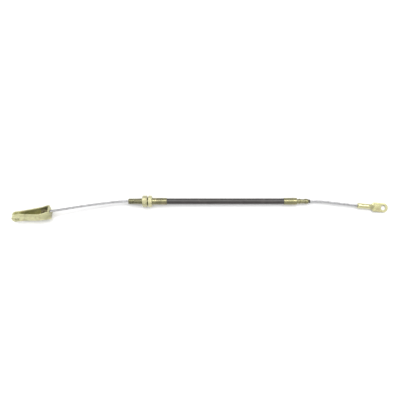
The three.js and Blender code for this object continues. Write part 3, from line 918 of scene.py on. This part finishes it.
def makeEye(size):
    radius, start = size["barrel"], size["barrelLength"]
    flat = size["thickness"] / 2
    run = size["headStart"] - start
    barrel = turnedPiece(
        "eyeTerminal",
        filleted(
            [
                (0, 0, 0), (0, radius - size["chamfer"], 0.2), (size["chamfer"], radius, 0.5),
                (start + 0.5, radius, 0), (start + 0.5, 0, 0)
            ]
        )[:-1],
        64, False
    )

    # the pressed shoulder, ring by ring from round to flat
    rings = [
        (-0.2, radius, 1, 1), (0, radius, 0.98, 1), (0.12, radius - 0.04, 0.9, 1),
        (0.28, radius - 0.1, 0.74, 1.08), (0.45, radius - 0.1, 0.5, 1.2), (0.6, radius + 0.1, 0.28, 1.45),
        (0.75, radius + 0.7, 0.12, 1.8), (0.9, radius + 1.3, 0.02, 2.3),
        (1.05, radius + 1.7, -0.04, 2.6), (1.2, radius + 1.4, -0.12, 2.6),
    ]
    startAlone()
    bpy.ops.mesh.primitive_circle_add(vertices=48, radius=mm, fill_type="NGON")
    shoulder = bpy.context.object
    bpy.ops.object.mode_set(mode="EDIT")
    bpy.ops.mesh.select_all(action="SELECT")
    for _ in rings[1:]:
        bpy.ops.mesh.extrude_region_move(TRANSFORM_OT_translate={"value": (0, 0, mm)})
    bpy.ops.object.mode_set(mode="OBJECT")
    for vertex in shoulder.data.vertices:
        share, halfWidth, rise, squareness = rings[min(round(vertex.co.z / mm), len(rings) - 1)]
        around = math.atan2(vertex.co.y, vertex.co.x)
        c, s = math.cos(around), math.sin(around)
        vertex.co = Vector((
            start + share * run,
            halfWidth * math.copysign(abs(c) ** (1 / squareness), c),
            (flat + rise * (radius - flat)) * math.copysign(abs(s) ** (1 / squareness), s),
        )) * mm
    bpy.ops.object.mode_set(mode="EDIT")
    closeMesh()

    # the head, flared from the neck and rounded at its end
    neck = radius - 1
    wide = size["halfWidth"]
    upper = [(start - 1, neck), (start + 0.3 * run, neck)]
    upper += cubic(
        upper[-1], (start + 0.6 * run, neck), (size["headStart"] - 2, wide), (size["headStart"], wide),
        steps=16
    )
    end = arc((size["holeAt"], 0), wide, math.pi / 2, -math.pi / 2, 40)
    outline = upper + end + [(x, -y) for x, y in reversed(upper)]
    head = prismPiece("head", outline, -flat, flat)
    head.data.transform(Matrix.Rotation(-math.pi / 2, 4, "X"))
    applyModifier(
        head, "BEVEL", width=0.45 * mm, segments=3, limit_method="ANGLE", angle_limit=math.radians(50),
        use_clamp_overlap=True
    )
    startAlone(barrel)
    shoulder.select_set(True)
    head.select_set(True)
    bpy.ops.object.join()  # the remesh makes one skin of the three
    applyModifier(barrel, "REMESH", mode="VOXEL", voxel_size=size["voxel"] * mm)
    applyModifier(barrel, "SMOOTH", factor=0.5, iterations=7)

    # drilled after pressing
    hole, sink = size["hole"], size["countersink"]
    drill = turnedPiece(
        "holeDrill",
        [
            (-4, 0), (-4, hole + sink + 4 - flat), (-flat + sink, hole), (flat - sink, hole),
            (4, hole + sink + 4 - flat), (4, 0)
        ],
        64, False
    )
    drill.data.transform(
        Matrix.Translation((size["holeAt"] * mm, 0, 0)) @ Matrix.Rotation(math.pi / 2, 4, "Y")
    )
    combine(barrel, drill, "DIFFERENCE")
    bore = turnedPiece(
        "wireBore",
        [
            (-1, 0), (-1, size["wireBore"] + 1.3), (0.3, size["wireBore"]),
            (size["wireDepth"], size["wireBore"]), (size["wireDepth"], 0)
        ],
        48, False
    )
    combine(barrel, bore, "DIFFERENCE")
    startAlone()
    bpy.ops.mesh.primitive_uv_sphere_add(
        segments=24, ring_count=16, radius=size["punch"] * mm,
        location=(size["punchAt"] * mm, size["punchSide"] * mm, (flat + size["punch"] * 0.45) * mm)
    )
    punch = bpy.context.object
    bpy.ops.object.transform_apply(location=True, rotation=True, scale=True)
    combine(barrel, punch, "DIFFERENCE")
    place(barrel, eyeFrame)
    return finishPiece(barrel, "wire", ["eye_terminal"], eyeLitAndShadedZinc, 30)


makeEye(eye)

# Inner wire: a core under twelve wires laid round it, along the route that the frame's wire takes
wire = {
    "radius": 1.9, "strands": 12, "lay": 36.0, "step": 1.9,
    "route": [
        (-252.702, -5.497, 13.333), (-247.248, -4.789, 13.333), (-241.497, -4.042, 13.333),
        (-239.513, -3.784, 13.333), (-233.513, -2.984, 13.263),
        (-227.513, -2.134, 13.153), (-220.513, -0.984, 12.962), (-212.513, 0.316, 12.682),
        (-203.513, 1.766, 12.312), (-193.513, 3.316, 11.841),
        (-182.513, 4.966, 11.271), (-171.513, 6.516, 10.680), (-160.513, 7.916, 10.090),
        (-150.513, 9.116, 9.590), (-141.513, 10.166, 9.179),
        (-133.513, 10.986, 8.869), (-126.513, 11.526, 8.629), (-120.513, 11.796, 8.468),
        (-115.513, 11.866, 8.368), (-103.514, 11.866, 8.250),
        (38.229, 11.866, 6.858), (163.373, 11.866, 5.629), (175.373, 11.866, 5.511),
        (181.373, 11.826, 5.495), (188.373, 11.666, 5.569),
        (196.373, 11.166, 5.733), (205.373, 10.206, 5.978), (215.373, 9.006, 6.223),
        (226.373, 7.726, 6.369), (237.373, 6.566, 6.255),
        (245.373, 5.766, 5.950), (251.373, 5.206, 5.553), (258.819, 4.528, 4.969), (266.266, 3.851, 4.385),
    ],
}


# A smooth line through the route, with points an even step apart
def evenRoute(route, step):
    points = [Vector(p) for p in route]
    points = [points[0] * 2 - points[1]] + points + [points[-1] * 2 - points[-2]]
    dense = []
    for p0, p1, p2, p3 in zip(points, points[1:], points[2:], points[3:]):
        d0, d1, d2 = [(b - a).length ** 0.5 for a, b in ((p0, p1), (p1, p2), (p2, p3))]
        m1 = ((p1 - p0) / d0 - (p2 - p0) / (d0 + d1) + (p2 - p1) / d1) * d1
        m2 = ((p2 - p1) / d1 - (p3 - p1) / (d1 + d2) + (p3 - p2) / d2) * d1
        count = max(int((p2 - p1).length / 0.25), 2)
        for s in range(count):
            t = s / count
            dense.append(
                p1 * (2 * t**3 - 3 * t**2 + 1) + m1 * (t**3 - 2 * t**2 + t)
                + p2 * (3 * t**2 - 2 * t**3) + m2 * (t**3 - t**2)
            )
    dense.append(points[-2])
    total = sum((b - a).length for a, b in zip(dense, dense[1:]))
    count = round(total / step)
    spaced, walked, target = [dense[0]], 0.0, total / count
    for a, b in zip(dense, dense[1:]):
        gap = (b - a).length
        while gap > 0 and walked + gap >= target - 1e-9 and len(spaced) < count:
            spaced.append(a.lerp(b, (target - walked) / gap))
            target += total / count
        walked += gap
    spaced.append(dense[-1])
    return spaced, total


def strandCurve(name, points, radius, roundness):
    data = bpy.data.curves.new(name, "CURVE")
    data.dimensions = "3D"
    data.bevel_depth = radius * mm
    data.bevel_resolution = roundness
    data.use_fill_caps = True
    spline = data.splines.new("POLY")
    spline.points.add(len(points) - 1)
    for point, at in zip(spline.points, points):
        point.co = (*(at * mm), 1)
    strand = bpy.data.objects.new(name, data)
    bpy.context.scene.collection.objects.link(strand)
    return strand


def makeWire(size):
    centre, total = evenRoute(size["route"], size["step"])
    share = math.sin(math.pi / size["strands"])
    strandRadius = size["radius"] * share / (1 + share)
    layRadius = size["radius"] - strandRadius
    sideways = Vector((0, 1, 0))
    frames = []
    for i, here in enumerate(centre):
        ahead = (centre[min(i + 1, len(centre) - 1)] - centre[max(i - 1, 0)]).normalized()
        sideways = (sideways - ahead * sideways.dot(ahead)).normalized()
        frames.append((here, sideways.copy(), ahead.cross(sideways)))
    strands = [strandCurve("innerWire", centre, layRadius - strandRadius + 0.02, 3)]
    for k in range(size["strands"]):
        path = []
        for i, (here, side, up) in enumerate(frames):
            turn = 2 * math.pi * (i * total / (len(frames) - 1) / size["lay"] + k / size["strands"])
            path.append(here + (side * math.cos(turn) + up * math.sin(turn)) * layRadius)
        strands.append(strandCurve("strand", path, strandRadius * 0.985, 2))
    startAlone()
    for strand in strands:
        strand.select_set(True)
    bpy.context.view_layer.objects.active = strands[0]
    bpy.ops.object.convert(target="MESH")
    bpy.ops.object.join()
    piece = bpy.context.object
    print("stage: wire is", round(total, 1), "mm long")
    return finishPiece(piece, "wire", ["inner_wire"], strandSteel, 60, wear=False)


makeWire(wire)

# The studio: a pale floor, one big soft lamp overhead, a long narrow one behind for the highlights,
# a weak fill from the front and a pale room
studio = {"floor": (253, 253, 253), "floorSize": 30, "room": (236, 236, 236), "roomStrength": 0.78}
lamps = {
    "key": {"at": (0.1, 0.43, 1.5), "target": (0.1, 0, 0), "size": (2.6, 0.8), "power": 16.0},
    "strip": {"at": (0.05, 0.95, 1.4), "target": (0.05, 0, 0), "size": (2.4, 0.12), "power": 12.0},
    "fill": {"at": (0.2, -1.4, 0.9), "target": (0, 0, 0), "size": (1.6, 0.8), "power": 0.6},
}
view = {"at": (-0.0012, 0.0139, 0.808), "lens": 45.0, "sensor": 36.0}


def makeFloor(size):
    startAlone()
    bpy.ops.mesh.primitive_plane_add(size=size["floorSize"])
    floor = bpy.context.object
    floor.name = "floor"
    material, tree, shader = newMaterial("paleFloor", Roughness=0.9, Specular_IOR_Level=0.1)
    coordinates = addNode(tree, "TexCoord").outputs["Object"]
    cloud = addNode(tree, "TexNoise", Scale=1.2, Detail=2.0)
    tree.links.new(coordinates, cloud.inputs["Vector"])
    colour = mixColour(
        tree, cloud.outputs["Fac"], screenColour(*size["floor"]),
        screenColour(*[c - 3 for c in size["floor"]])
    )
    tree.links.new(colour, shader.inputs["Base Color"])
    floor.data.materials.append(material)


def makeLamp(name, at, target, size, power):
    data = bpy.data.lights.new(name, "AREA")
    data.shape = "RECTANGLE"
    data.size, data.size_y = size
    data.energy = power
    lamp = bpy.data.objects.new(name, data)
    bpy.context.scene.collection.objects.link(lamp)
    lamp.location = at
    lamp.rotation_euler = (Vector(target) - Vector(at)).to_track_quat("-Z", "Y").to_euler()
    return lamp


def makeRoom(size):
    world = bpy.data.worlds.new("room")
    bpy.context.scene.world = world
    world.use_nodes = True
    tree = world.node_tree
    background = tree.nodes["Background"]
    background.inputs["Color"].default_value = screenColour(*size["room"])
    rays = tree.nodes.new("ShaderNodeLightPath")
    seen = math2(
        tree, "MAXIMUM", rays.outputs["Is Camera Ray"],
        math2(tree, "MAXIMUM", rays.outputs["Is Glossy Ray"], rays.outputs["Is Transmission Ray"])
    )
    strength = tree.nodes.new("ShaderNodeMapRange")
    tree.links.new(seen, strength.inputs["Value"])
    strength.inputs["To Min"].default_value = size["roomStrength"]
    strength.inputs["To Max"].default_value = 1.0
    tree.links.new(strength.outputs["Result"], background.inputs["Strength"])


makeFloor(studio)
for name, lamp in lamps.items():
    makeLamp(name, **lamp)
makeRoom(studio)

cameraData = bpy.data.cameras.new("camera")
cameraData.sensor_width = view["sensor"]
cameraData.lens = view["lens"]
camera = bpy.data.objects.new("camera", cameraData)
bpy.context.scene.collection.objects.link(camera)
camera.location = view["at"]
bpy.context.scene.camera = camera
bpy.context.scene.view_settings.view_transform = "Standard"
print("stage: studio and camera set")
